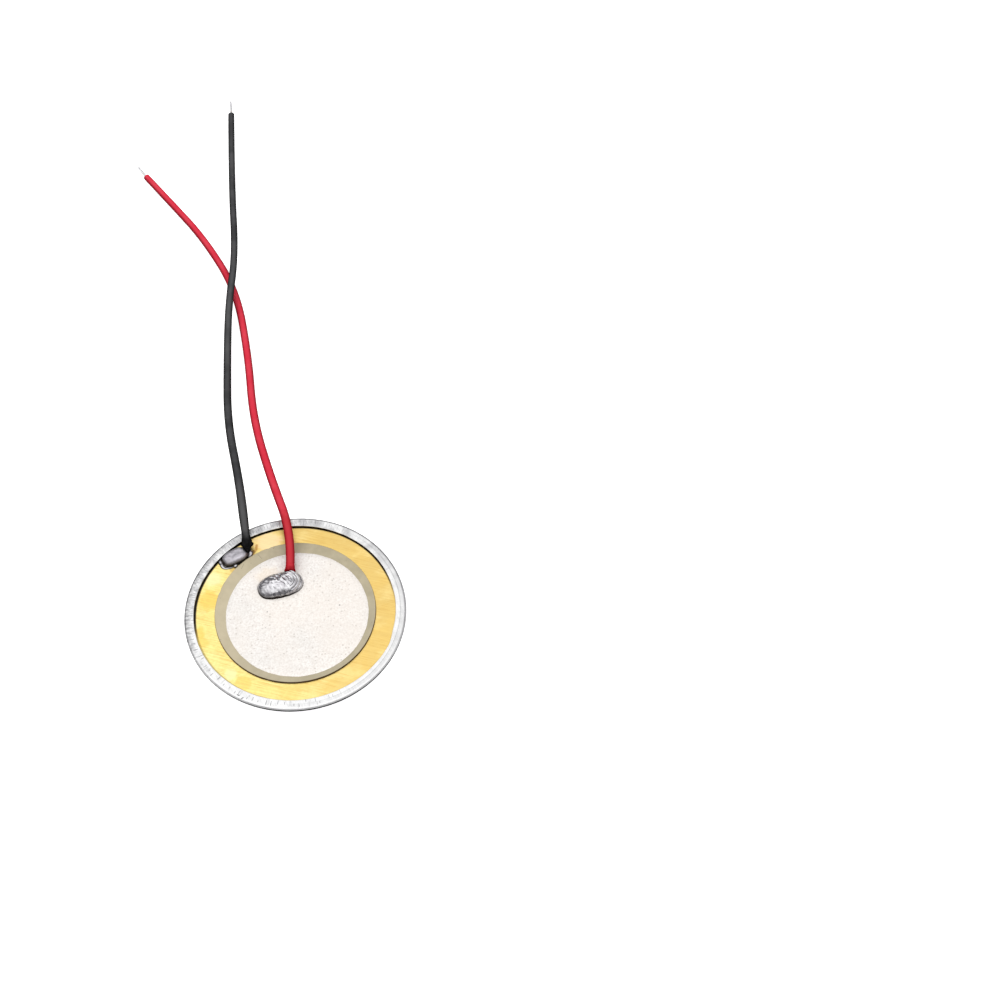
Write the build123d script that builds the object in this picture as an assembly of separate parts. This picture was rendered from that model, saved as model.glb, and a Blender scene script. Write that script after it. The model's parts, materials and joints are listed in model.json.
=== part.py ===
from build123d import *
import math
import os

# Piezo sounder element with two soldered leads. Millimetres, +Z up.
# A brass plate carries a silvered ceramic disc and is crimped into a drawn aluminium shell.
# The origin is the middle of the shell's flat base, on the surface that the element stands on.

# Ceramic disc with its two silver films, and the bond under it
ceramic_radius = 10.0
ceramic_thickness = 0.22
silver_thickness = 0.02
lower_silver_margin = 0.1
upper_silver_margin = 1.15
upper_silver_shift = 0.38
upper_silver_direction = -45
bond_thickness = 0.03

# Brass plate, with a bare ring left round the ceramic
plate_thickness = 0.25
ring_width = 2.45
plate_edge_clearance = 0.08
plate_top_clearance = 0.02

# Aluminium shell: one drawn sheet, with its edge folded over the brass plate
sheet = 0.3
lip_width = 1.35
flange_width = 1.6
step_run = 2.5
step_height = 2.2
port_radius = 2.7
draw_bend = 0.25
rim_bevel = 0.1

# Leads: strands in a round plastic cover, which is drawn with narrow flats, bared and tinned at the far end
cover_radius = 0.525
cover_sides = 12
core_radius = 0.17
red_tip_length = 2.0
black_tip_length = 2.4

# Frozen solder drop of the red lead, on the upper silver film
red_drop_length = 5.8
red_drop_width = 3.5
red_drop_height = 1.25
red_drop_turn = 17
red_drop_place_shares = (-0.233, 0.41)

# Frozen solder drop of the black lead, on the brass ring, with a side lobe under the lead's end
black_drop_length = 3.6
black_drop_height = 0.9
black_drop_bearing = 137.3
black_drop_width_share = 0.84
black_drop_place_share = 0.5
black_lobe_length = 1.8
black_lobe_height = 0.8
black_lobe_bearing = 128
black_lobe_width_share = 0.54
black_lobe_place_share = 0.29
black_drop_turn = 33
solder_clearance = 0.02

# Sections of a drop from its foot to its crown, as shares of its height and of its spread
round_height_shares = (0, 0.3, 0.75, 1)
round_spread_shares = (1, 0.92, 0.6, 0.2)
flat_height_shares = (0, 0.4, 0.85, 1)
flat_spread_shares = (1, 0.94, 0.78, 0.55)

# Routes of the leads, from the solder to the stripped end
red_route = [
    (-0.9, 5.3, 3.74),
    (-0.8, 10.2, 4.85),
    (-4.0, 18.5, 5.2),
    (-7.2, 29.5, 2.7),
    (-8.85, 41.5, 0.53),
    (-11.25, 53.0, 0.53),
    (-16.55, 62.4, 0.53),
    (-21.75, 69.0, 0.53),
    (-25.75, 74.0, 0.53),
]
black_route = [
    (-6.5, 8.9, 3.45),
    (-6.75, 11.8, 4.75),
    (-8.0, 18.0, 5.3),
    (-10.55, 29.0, 2.7),
    (-11.6, 40.0, 0.6),
    (-11.9, 49.0, 2.35),
    (-11.55, 58.0, 2.35),
    (-13.3, 72.3, 0.53),
    (-14.35, 86.3, 0.53),
]

# An arc of a lead takes up this share of the shorter run at each of its ends
run_share = 0.45

# Radii of the shell, from the bare ring outwards and then down to the base
lip_radius = ceramic_radius + ring_width
rim_radius = lip_radius + lip_width
flange_radius = rim_radius - flange_width
base_radius = flange_radius - step_run

# Heights of the stack, each piece seated on the one below
plate_seat = step_height + sheet
bond_seat = plate_seat + plate_thickness
lower_silver_seat = bond_seat + bond_thickness
ceramic_seat = lower_silver_seat + silver_thickness
upper_silver_seat = ceramic_seat + ceramic_thickness
red_drop_seat = upper_silver_seat + silver_thickness
lip_underside = bond_seat + plate_top_clearance
lip_top = lip_underside + sheet


def disc(radius, thickness, seat):
    """A stamped or printed round layer that lies on the seat height."""
    resting = (Align.CENTER, Align.CENTER, Align.MIN)
    return Pos(0, 0, seat) * Cylinder(radius, thickness, align=resting)


def aluminium_shell():
    """The sheet's section, drawn down to the base and folded at the rim, turned about the axis."""
    cone_angle = math.atan2(step_height, step_run)
    setback = sheet * math.tan(cone_angle / 2)
    wall_radius = rim_radius - sheet
    below = FilletPolyline(
        (port_radius, 0),
        (base_radius, 0),
        (flange_radius, step_height),
        (rim_radius - rim_bevel, step_height),
        radius=[draw_bend + sheet, draw_bend],
    )
    rim = Polyline(
        below @ 1,
        (rim_radius, step_height + rim_bevel),
        (rim_radius, lip_top - rim_bevel),
        (rim_radius - rim_bevel, lip_top),
        (lip_radius, lip_top),
        (lip_radius, lip_underside),
        (wall_radius, lip_underside),
        (wall_radius, plate_seat),
        (flange_radius - setback, plate_seat),
        (base_radius - setback, sheet),
        (port_radius, sheet),
        below @ 0,
    )
    return revolve(Plane.XZ * make_face([*below.edges(), *rim.edges()]), axis=Axis.Z)


def solder_drop(length, width, height, height_shares, spread_shares):
    """A frozen drop with an oval foot, lofted up to its crown."""
    sections = []
    for height_share, spread_share in zip(height_shares, spread_shares):
        oval = Ellipse(spread_share * length / 2, spread_share * width / 2)
        sections.append(Plane.XY.offset(height_share * height) * oval)
    return loft(sections)


def on_ring(radius, bearing, height):
    """A place on a circle about the element's axis."""
    angle = math.radians(bearing)
    return Pos(radius * math.cos(angle), radius * math.sin(angle), height)


def rod(start, direction, radius, length):
    """A straight round rod that begins at a place."""
    resting = (Align.CENTER, Align.CENTER, Align.MIN)
    return Plane(origin=start, z_dir=direction) * Cylinder(radius, length, align=resting)


def first_run(route):
    return Vector(*route[1]) - Vector(*route[0])


def last_run(route):
    return Vector(*route[-1]) - Vector(*route[-2])


def lead_seat(route):
    """Room that a lead's end takes up in its solder drop."""
    outward = first_run(route)
    return rod(Vector(*route[0]), outward, cover_radius + solder_clearance, outward.length)


def red_solder():
    place_x, place_y = (share * upper_silver_radius for share in red_drop_place_shares)
    drop = solder_drop(
        red_drop_length, red_drop_width, red_drop_height, round_height_shares, round_spread_shares
    )
    drop = Pos(place_x, place_y, red_drop_seat) * Rot(0, 0, red_drop_turn) * drop
    return drop - lead_seat(red_route)


def ring_drop(length, height, width_share, place_share, bearing, height_shares, spread_shares):
    """A frozen drop on the bare brass ring, sized and placed by shares of the ring's width."""
    drop = solder_drop(length, width_share * ring_width, height, height_shares, spread_shares)
    place = on_ring(ceramic_radius + place_share * ring_width, bearing, bond_seat)
    return place * Rot(0, 0, black_drop_turn) * drop


def black_solder():
    drop = ring_drop(
        black_drop_length, black_drop_height, black_drop_width_share, black_drop_place_share,
        black_drop_bearing, flat_height_shares, flat_spread_shares,
    )
    lobe = ring_drop(
        black_lobe_length, black_lobe_height, black_lobe_width_share, black_lobe_place_share,
        black_lobe_bearing, round_height_shares, round_spread_shares,
    )
    return drop + lobe - lead_seat(black_route)


def bend_radii(route):
    """Largest even arc at each corner of a route."""
    points = [Vector(*point) for point in route]
    radii = []
    for before, corner, after in zip(points, points[1:], points[2:]):
        shorter_run = min((corner - before).length, (after - corner).length)
        turn = (corner - before).get_angle(after - corner)
        radii.append(run_share * shorter_run / math.tan(math.radians(turn) / 2))
    return radii


def lead(name, route):
    """A covered lead along its route; prints its bends and its volume over section times length."""
    radii = bend_radii(route)
    path = FilletPolyline(*route, radius=radii)
    section = RegularPolygon(cover_radius, cover_sides)
    cover = sweep(Plane(origin=path @ 0, z_dir=path % 0) * section, path=path)
    print(name, "lead bend radii", [round(radius, 1) for radius in radii])
    print(name, "lead length", round(path.length, 2))
    print(name, "lead volume ratio", round(cover.volume / (section.area * path.length), 4))
    return cover


def lead_tip(route, length):
    """The tinned strands bared at the far end of a lead."""
    return rod(Vector(*route[-1]), last_run(route), core_radius, length)


upper_silver_radius = ceramic_radius - upper_silver_margin
upper_silver_place = on_ring(upper_silver_shift, upper_silver_direction, 0)

pieces = {
    "aluminium_shell": aluminium_shell(),
    "brass_plate": disc(rim_radius - sheet - plate_edge_clearance, plate_thickness, plate_seat),
    "bond_film": disc(ceramic_radius, bond_thickness, bond_seat),
    "lower_silver_film": disc(ceramic_radius - lower_silver_margin, silver_thickness, lower_silver_seat),
    "ceramic_disc": disc(ceramic_radius, ceramic_thickness, ceramic_seat),
    "upper_silver_film": upper_silver_place * disc(upper_silver_radius, silver_thickness, upper_silver_seat),
    "red_solder_drop": red_solder(),
    "black_solder_drop": black_solder(),
    "red_lead": lead("red", red_route),
    "red_lead_tip": lead_tip(red_route, red_tip_length),
    "black_lead": lead("black", black_route),
    "black_lead_tip": lead_tip(black_route, black_tip_length),
}

os.makedirs("parts", exist_ok=True)
for node, shape in pieces.items():
    export_step(shape, f"parts/{node}.step")
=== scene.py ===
import json
import math
import random
from collections import namedtuple

import bpy
import numpy as np
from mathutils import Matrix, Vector, noise


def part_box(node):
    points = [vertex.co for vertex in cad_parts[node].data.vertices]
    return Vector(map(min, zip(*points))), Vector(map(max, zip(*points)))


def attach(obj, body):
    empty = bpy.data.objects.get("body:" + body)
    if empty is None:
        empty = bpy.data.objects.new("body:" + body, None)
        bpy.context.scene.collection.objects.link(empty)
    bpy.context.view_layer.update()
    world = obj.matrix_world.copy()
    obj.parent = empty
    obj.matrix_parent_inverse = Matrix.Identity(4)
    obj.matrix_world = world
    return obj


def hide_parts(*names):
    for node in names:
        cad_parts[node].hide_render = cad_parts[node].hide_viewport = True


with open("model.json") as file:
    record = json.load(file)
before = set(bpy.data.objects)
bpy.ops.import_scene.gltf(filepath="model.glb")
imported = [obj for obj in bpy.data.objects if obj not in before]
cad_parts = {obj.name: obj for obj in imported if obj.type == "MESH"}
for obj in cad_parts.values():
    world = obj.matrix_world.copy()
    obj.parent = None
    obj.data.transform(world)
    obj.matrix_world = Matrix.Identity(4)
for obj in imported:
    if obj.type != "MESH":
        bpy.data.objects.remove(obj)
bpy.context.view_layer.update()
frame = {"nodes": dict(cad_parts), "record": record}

# Piezo sounder element: a brass plate with a silvered ceramic disc, crimped into a drawn aluminium
# shell, with a red and a black lead soldered on. Metres, +Z up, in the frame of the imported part.

# Sizes read from the frame
mounts = {mount["name"]: mount for mount in frame["record"]["mounts"]}
metres_per_mm = 0.001
port_radius = mounts["sound_port"]["dims"]["r_mm"] * metres_per_mm
step_height = mounts["flange_face"]["pos_m"][2]
rim_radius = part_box("aluminium_shell")[1].x
lip_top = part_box("aluminium_shell")[1].z
plate_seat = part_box("brass_plate")[0].z
plate_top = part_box("brass_plate")[1].z
ceramic_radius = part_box("ceramic_disc")[1].x
ceramic_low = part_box("ceramic_disc")[0].z
ceramic_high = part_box("ceramic_disc")[1].z
silver_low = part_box("upper_silver_film")[0]
silver_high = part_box("upper_silver_film")[1]
silver_radius = (silver_high.x - silver_low.x) / 2
silver_print_shift = Vector((0, -0.00012, 0))
silver_centre = (silver_low + silver_high) / 2 + silver_print_shift
sheet = plate_seat - step_height
lip_radius = 0.01245
flange_radius = 0.0122
base_radius = 0.0097

# Leads: routes from the solder to the stripped end, close to those of the solids
cover_diameter = 0.00105
core_radius = 0.00017
red_length = 0.0750
black_length = 0.0788
red_tip_length = 0.0023
black_tip_length = 0.0027
red_route = [
    (-0.0009, 0.0053, 0.00374),
    (-0.0008, 0.0102, 0.00485),
    (-0.0040, 0.0185, 0.0052),
    (-0.0072, 0.0295, 0.0027),
    (-0.00885, 0.0415, 0.00053),
    (-0.01125, 0.0530, 0.00053),
    (-0.01655, 0.0624, 0.00053),
    (-0.02175, 0.0690, 0.00053),
    (-0.02575, 0.0740, 0.00053),
]
black_route = [
    (-0.0065, 0.0089, 0.00345),
    (-0.00695, 0.0118, 0.00475),
    (-0.0080, 0.0180, 0.0053),
    (-0.01055, 0.0290, 0.0027),
    (-0.0116, 0.0400, 0.0006),
    (-0.0119, 0.0490, 0.00235),
    (-0.01155, 0.0580, 0.00235),
    (-0.0133, 0.0723, 0.00053),
    (-0.01435, 0.0863, 0.00053),
]

# Camera of the photograph
camera_place = (0.02544, -0.12960, 0.22639)
camera_tilt_deg = 33.184
camera_lens_mm = 74.7


# Pieces

def new_piece(name, vertices, faces, material, slot, *replaced):
    """A mesh that rides with the part, in place of the solids it stands for."""
    mesh = bpy.data.meshes.new(name)
    mesh.from_pydata([tuple(vertex) for vertex in vertices], [], faces)
    mesh.polygons.foreach_set("use_smooth", [True] * len(mesh.polygons))
    mesh.materials.append(material)
    mesh.update()
    piece = bpy.data.objects.new(name, mesh)
    return join_part(piece, slot, *replaced)


def join_part(piece, slot, *replaced):
    """Links a piece, rides it on the part's one body and hides the solids that it replaces."""
    bpy.context.scene.collection.objects.link(piece)
    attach(piece, "root")
    if replaced:
        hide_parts(*replaced)
    return piece


def set_darkness(piece, dirt):
    """Keeps how dark each point of a mesh is, for its material."""
    layer = piece.data.attributes.new("dirt", "FLOAT", "POINT")
    layer.data.foreach_set("value", np.array(dirt, np.float32))


def ring_faces(rows, columns, closed_rows=False):
    """Quads of a grid whose columns run round; closed_rows joins the last row to the first."""
    faces = []
    for row in range(rows if closed_rows else rows - 1):
        upper = (row + 1) % rows
        for column in range(columns):
            after = (column + 1) % columns
            faces.append((row * columns + column, row * columns + after,
                          upper * columns + after, upper * columns + column))
    return faces


def rounded_path(corners):
    """A closed path of (radius, height) points, each corner rounded by its own bend in its own steps."""
    path = []
    for index, (radius, height, bend, steps) in enumerate(corners):
        corner = Vector((radius, height))
        before = Vector(corners[index - 1][:2]) - corner
        after = Vector(corners[(index + 1) % len(corners)][:2]) - corner
        if bend == 0:
            path.append(corner)
            continue
        half_angle = before.angle(after) / 2
        reach = bend / math.tan(half_angle)
        start = corner + before.normalized() * reach
        end = corner + after.normalized() * reach
        inward = (before.normalized() + after.normalized()).normalized()
        centre = corner + inward * (bend / math.sin(half_angle))
        for step in range(steps + 1):
            chord = start.lerp(end, step / steps) - centre
            path.append(centre + chord.normalized() * bend)
    return path


def spaced_path(path, lip_gap, other_gap):
    """The same closed path with its long straight stretches divided, finely along the lip."""
    spaced = []
    for index, point in enumerate(path):
        following = path[(index + 1) % len(path)]
        longest = lip_gap if min(point.y, following.y) > lip_top - sheet / 3 else other_gap
        count = max(1, math.ceil((following - point).length / longest))
        spaced.extend(point.lerp(following, step / count) for step in range(count))
    return spaced


def ripple(angle, turns, seed):
    """Smooth unevenness round a circle, about -1 to 1."""
    return noise.noise(Vector((turns * math.cos(angle), turns * math.sin(angle), seed)))


def share_between(value, start, end):
    """How far a value has come from a start to an end, from 0 to 1."""
    return min(1.0, max(0.0, (value - start) / (end - start)))


# Shader nodes

def add(tree, kind, inputs=None, **settings):
    """A node with its settings, and its inputs linked to sockets or set to values."""
    made = tree.nodes.new(kind)
    for name, value in settings.items():
        setattr(made, name, value)
    for name, value in (inputs or {}).items():
        if isinstance(value, bpy.types.NodeSocket):
            tree.links.new(value, made.inputs[name])
        else:
            made.inputs[name].default_value = value
    return made


def calc(tree, operation, *values):
    made = add(tree, "ShaderNodeMath", dict(enumerate(values)), operation=operation)
    return made.outputs[0]


def place_calc(tree, operation, *values):
    """A sum with places, which gives a length or a place."""
    made = add(tree, "ShaderNodeVectorMath", dict(enumerate(values)), operation=operation)
    gives_length = operation in ("LENGTH", "DISTANCE", "DOT_PRODUCT")
    return made.outputs["Value" if gives_length else "Vector"]


def span(tree, value, low, high, start=0.0, end=1.0):
    """A value brought smoothly from the range low to high into the range start to end."""
    made = add(tree, "ShaderNodeMapRange",
               {"Value": value, "From Min": low, "From Max": high, "To Min": start, "To Max": end},
               interpolation_type="SMOOTHSTEP")
    return made.outputs["Result"]


def tint(tree, mask, under, over):
    """One colour laid over another where the mask is strong."""
    made = add(tree, "ShaderNodeMix", data_type="RGBA")
    for index, value in ((0, mask), (6, under), (7, over)):
        if isinstance(value, bpy.types.NodeSocket):
            tree.links.new(value, made.inputs[index])
        else:
            made.inputs[index].default_value = value
    return made.outputs[2]


def glaze(tree, mask, strength, under, over):
    """A thin tint, at a share of the mask's own strength."""
    return tint(tree, calc(tree, "MULTIPLY", mask, strength), under, over)


def surface_place(tree):
    return add(tree, "ShaderNodeTexCoord").outputs["Object"]


def axis_distance(tree, place):
    """How far a place lies from the element's axis."""
    return place_calc(tree, "LENGTH", place_calc(tree, "MULTIPLY", place, (1.0, 1.0, 0.0)))


def new_group(name, inputs, output):
    """A node group with named number or place inputs and one value output."""
    tree = bpy.data.node_groups.new(name, "ShaderNodeTree")
    for label, value in inputs.items():
        kind = "NodeSocketVector" if isinstance(value, tuple) else "NodeSocketFloat"
        tree.interface.new_socket(name=label, in_out="INPUT", socket_type=kind).default_value = value
    tree.interface.new_socket(name=output, in_out="OUTPUT", socket_type="NodeSocketFloat")
    taken = add(tree, "NodeGroupInput").outputs
    given = add(tree, "NodeGroupOutput")
    return tree, taken, given


def use(tree, group, **inputs):
    """Places a group in a material and gives its one output."""
    made = add(tree, "ShaderNodeGroup", node_tree=group)
    for name, value in inputs.items():
        label = name.replace("_", " ")
        made.inputs[label].default_value = value
    return made.outputs[0]


def streaks_group():
    """Long fine streaks left by rolling or brushing."""
    tree, taken, given = new_group(
        "rolling streaks", {"Length": 0.01, "Width": 0.0001, "Turn": 0.0}, "Streaks")
    turned = add(tree, "ShaderNodeVectorRotate",
                 {"Vector": surface_place(tree), "Angle": taken["Turn"]}, rotation_type="Z_AXIS")
    size = add(tree, "ShaderNodeCombineXYZ",
               {"X": taken["Length"], "Y": taken["Width"], "Z": taken["Width"]})
    place = place_calc(tree, "DIVIDE", turned.outputs[0], size.outputs[0])
    grain = add(tree, "ShaderNodeTexNoise", {"Vector": place, "Scale": 1.0, "Detail": 3.0})
    tree.links.new(grain.outputs["Fac"], given.inputs["Streaks"])
    return tree


def blotches_group():
    """Soft uneven patches."""
    tree, taken, given = new_group("blotches", {"Size": 0.003, "Detail": 3.0, "Seed": 0.0}, "Blotches")
    scale = calc(tree, "DIVIDE", 1.0, taken["Size"])
    patch = add(tree, "ShaderNodeTexNoise",
                {"Vector": surface_place(tree), "W": taken["Seed"],
                 "Scale": scale, "Detail": taken["Detail"]}, noise_dimensions="4D")
    tree.links.new(span(tree, patch.outputs["Fac"], 0.32, 0.68), given.inputs["Blotches"])
    return tree


def specks_group():
    """Scattered small specks: one in each cell of a share of the cells."""
    tree, taken, given = new_group(
        "specks", {"Spacing": 0.0004, "Share": 0.3, "Size share": 0.25}, "Specks")
    cells = add(tree, "ShaderNodeTexVoronoi",
                {"Vector": surface_place(tree), "Scale": calc(tree, "DIVIDE", 1.0, taken["Spacing"])})
    chance = add(tree, "ShaderNodeSeparateColor", {"Color": cells.outputs["Color"]})
    chosen = calc(tree, "LESS_THAN", chance.outputs[0], taken["Share"])
    reach = calc(tree, "MULTIPLY", taken["Size share"], calc(tree, "ADD", 0.4, chance.outputs[1]))
    edge = calc(tree, "DIVIDE", cells.outputs["Distance"], reach)
    speck = span(tree, edge, 1.0, 0.5)
    tree.links.new(calc(tree, "MULTIPLY", chosen, speck), given.inputs["Specks"])
    return tree


def ring_line_group():
    """A line round the element's axis, with a slightly uneven edge."""
    tree, taken, given = new_group(
        "ring line", {"Radius": 0.01, "Width": 0.0001, "Wobble": 0.00002}, "Line")
    place = surface_place(tree)
    wave = add(tree, "ShaderNodeTexNoise", {"Vector": place, "Scale": 900.0, "Detail": 2.0})
    shift = calc(tree, "MULTIPLY", calc(tree, "SUBTRACT", wave.outputs["Fac"], 0.5), taken["Wobble"])
    radius = calc(tree, "ADD", axis_distance(tree, place), shift)
    off = calc(tree, "ABSOLUTE", calc(tree, "SUBTRACT", radius, taken["Radius"]))
    share = calc(tree, "DIVIDE", off, taken["Width"])
    tree.links.new(span(tree, share, 1.0, 0.35), given.inputs["Line"])
    return tree


def radial_ticks_group():
    """Short fine tool marks across the lip, pointing at the axis, one in each stretch of the rim."""
    tree, taken, given = new_group(
        "radial ticks", {"Spacing": 0.0009, "Width": 0.00006, "Seed": 0.0}, "Ticks")
    start_range = 0.0007
    shortest = 0.0002
    length_range = 0.0006
    furthest = lip_radius + 0.001
    place = surface_place(tree)
    parts = add(tree, "ShaderNodeSeparateXYZ", {"Vector": place})
    radius = axis_distance(tree, place)
    bearing = calc(tree, "ARCTAN2", parts.outputs["Y"], parts.outputs["X"])
    count = calc(tree, "DIVIDE", calc(tree, "MULTIPLY", bearing, rim_radius), taken["Spacing"])
    seed = calc(tree, "ADD", calc(tree, "FLOOR", count), taken["Seed"])
    chance = add(tree, "ShaderNodeTexWhiteNoise", {"W": seed}, noise_dimensions="1D")
    shares = add(tree, "ShaderNodeSeparateColor", {"Color": chance.outputs["Color"]})
    middle = calc(tree, "MULTIPLY_ADD", shares.outputs[0], 0.6, 0.2)
    off = calc(tree, "ABSOLUTE", calc(tree, "SUBTRACT", calc(tree, "FRACT", count), middle))
    line = span(tree, calc(tree, "MULTIPLY", off, taken["Spacing"]), taken["Width"], 0.0)
    start = calc(tree, "MULTIPLY_ADD", shares.outputs[1], start_range, lip_radius)
    reach = calc(tree, "MULTIPLY_ADD", shares.outputs[2], length_range, shortest)
    end = calc(tree, "MINIMUM", calc(tree, "ADD", start, reach), furthest)
    begun = calc(tree, "GREATER_THAN", radius, start)
    inside = calc(tree, "MULTIPLY", begun, calc(tree, "LESS_THAN", radius, end))
    tree.links.new(calc(tree, "MULTIPLY", line, inside), given.inputs["Ticks"])
    return tree


def stain_group():
    """A soft-edged spot round a place."""
    tree, taken, given = new_group(
        "stain", {"Place": (0.0, 0.0, 0.0), "Reach": 0.001, "Wobble": 0.4}, "Stain")
    place = surface_place(tree)
    away = place_calc(tree, "DISTANCE", place, taken["Place"])
    share = calc(tree, "DIVIDE", away, taken["Reach"])
    wave = add(tree, "ShaderNodeTexNoise", {"Vector": place, "Scale": 1300.0, "Detail": 3.0})
    shift = calc(tree, "MULTIPLY", calc(tree, "SUBTRACT", wave.outputs["Fac"], 0.5), taken["Wobble"])
    tree.links.new(span(tree, calc(tree, "ADD", share, shift), 1.0, 0.45), given.inputs["Stain"])
    return tree


def hairline_group():
    """A hairline from one place to another."""
    tree, taken, given = new_group(
        "hairline", {"Start": (0.0, 0.0, 0.0), "End": (0.001, 0.0, 0.0), "Width": 0.00003}, "Hairline")
    bend = (0.00012, 0.00012, 0.0)
    place = surface_place(tree)
    wave = add(tree, "ShaderNodeTexNoise", {"Vector": place, "Scale": 2500.0, "Detail": 1.0})
    bent = place_calc(tree, "MULTIPLY_ADD", wave.outputs["Color"], bend, place)
    along = place_calc(tree, "SUBTRACT", taken["End"], taken["Start"])
    start = place_calc(tree, "SUBTRACT", bent, taken["Start"])
    run = place_calc(tree, "DOT_PRODUCT", start, along)
    whole = place_calc(tree, "DOT_PRODUCT", along, along)
    share = add(tree, "ShaderNodeClamp", {"Value": calc(tree, "DIVIDE", run, whole)})
    foot = add(tree, "ShaderNodeVectorMath", {0: along, "Scale": share.outputs[0]}, operation="SCALE")
    off = place_calc(tree, "DISTANCE", start, foot.outputs[0])
    wide = calc(tree, "DIVIDE", off, taken["Width"])
    tree.links.new(span(tree, wide, 1.0, 0.3), given.inputs["Hairline"])
    return tree


streaks = streaks_group()
blotches = blotches_group()
specks = specks_group()
ring_line = ring_line_group()
radial_ticks = radial_ticks_group()
stain = stain_group()
hairline = hairline_group()


def new_material(name, **constants):
    """A material with its shader, whose plain numbers and colours are set on its own sockets."""
    material = bpy.data.materials.new(name)
    material.use_nodes = True
    tree = material.node_tree
    shader = tree.nodes["Principled BSDF"]
    for label, value in constants.items():
        shader.inputs[label.replace("_", " ")].default_value = value
    return material, tree, shader


def set_bump(tree, shader, height, distance, strength=1.0):
    bump = add(tree, "ShaderNodeBump", {"Height": height, "Distance": distance, "Strength": strength})
    tree.links.new(bump.outputs["Normal"], shader.inputs["Normal"])


def hairlines(tree, height, *lines):
    """Hairlines on a flat face at one height, each with its start, its end and its width."""
    drawn = 0.0
    for start, end, width in lines:
        line = use(tree, hairline, Start=(*start, height), End=(*end, height), Width=width)
        drawn = calc(tree, "MAXIMUM", drawn, line)
    return drawn


def spotted(tree, colour, spot_colour, height, wobble, *stains):
    """A colour with soft spots on a flat face at one height, each with its place, reach and strength: stains,
    and on the brass also painted highlights.
    """
    for x, y, reach, strength in stains:
        mask = use(tree, stain, Place=(x, y, height), Reach=reach, Wobble=wobble)
        colour = glaze(tree, mask, strength, colour, spot_colour)
    return colour


def aluminium():
    """Bright rolled sheet: brushed grain, grey patches of painted shade on the lip, and darkness kept on its
    points: painted shade in the marks, on the left shoulder and under the rim, and a darker pressed line.
    """
    edge_tint = (0.25, 0.25, 0.26, 1)
    material, tree, shader = new_material("aluminium sheet", Metallic=1.0, Specular_Tint=edge_tint)
    grain = use(tree, streaks, Length=0.004, Width=0.00006, Turn=math.radians(62))
    patch = use(tree, blotches, Size=0.0011, Detail=6.0, Seed=1.0)
    place = add(tree, "ShaderNodeSeparateXYZ", {"Vector": surface_place(tree)})
    slope = calc(tree, "SUBTRACT", calc(tree, "MULTIPLY", place.outputs["Y"], 0.9), place.outputs["X"])
    upper = calc(tree, "MULTIPLY", place.outputs["Y"], 1.2)
    upper = calc(tree, "MULTIPLY_ADD", place.outputs["X"], -0.4, upper)
    on_lip = span(tree, place.outputs["Z"], plate_top, lip_top)
    # Painted shade: the lip greyer in patches towards its far left.
    patchy = calc(tree, "MULTIPLY", span(tree, upper, -0.004, 0.014, 0.2, 0.9), on_lip)
    patchy = calc(tree, "MULTIPLY", patchy, patch)
    colour = tint(tree, patchy, (0.85, 0.85, 0.845, 1), (0.42, 0.42, 0.43, 1))
    colour = tint(tree, span(tree, grain, 0.56, 0.36, 0.0, 0.3), colour, (0.58, 0.585, 0.60, 1))
    # How dark each point of the sheet was made: painted shade in the crimp dents, on the left shoulder and
    # under the near side of the rim, and a darker pressed line.
    dirt = add(tree, "ShaderNodeAttribute", attribute_name="dirt").outputs["Fac"]
    colour = tint(tree, dirt, colour, (0.03, 0.03, 0.032, 1))
    low_left = calc(tree, "ADD", place.outputs["X"], place.outputs["Y"])
    long_ticks = calc(tree, "MULTIPLY", use(tree, radial_ticks, Spacing=0.0009, Width=0.00008, Seed=3.0),
                      span(tree, low_left, 0.0, -0.012, 0.1, 0.85))
    close_ticks = calc(tree, "MULTIPLY", use(tree, radial_ticks, Spacing=0.0004, Width=0.00006, Seed=7.0),
                       span(tree, slope, 0.0, 0.014, 0.1, 0.7))
    colour = tint(tree, calc(tree, "MAXIMUM", long_ticks, close_ticks), colour, (0.22, 0.22, 0.23, 1))
    nicks = use(tree, specks, Spacing=0.0016, Share=0.1, Size_share=0.09)
    scuff = hairlines(tree, lip_top,
                      ((-0.0063, -0.0117), (-0.0061, -0.0118), 0.00009),
                      ((-0.0058, -0.0122), (-0.0056, -0.0121), 0.0001))
    colour = tint(tree, calc(tree, "MAXIMUM", nicks, scuff), colour, (0.10, 0.10, 0.11, 1))
    tree.links.new(colour, shader.inputs["Base Color"])
    tree.links.new(span(tree, grain, 0.3, 0.7, 0.42, 0.27), shader.inputs["Roughness"])
    set_bump(tree, shader, calc(tree, "ADD", grain, patch), 0.00001)
    return material


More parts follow.
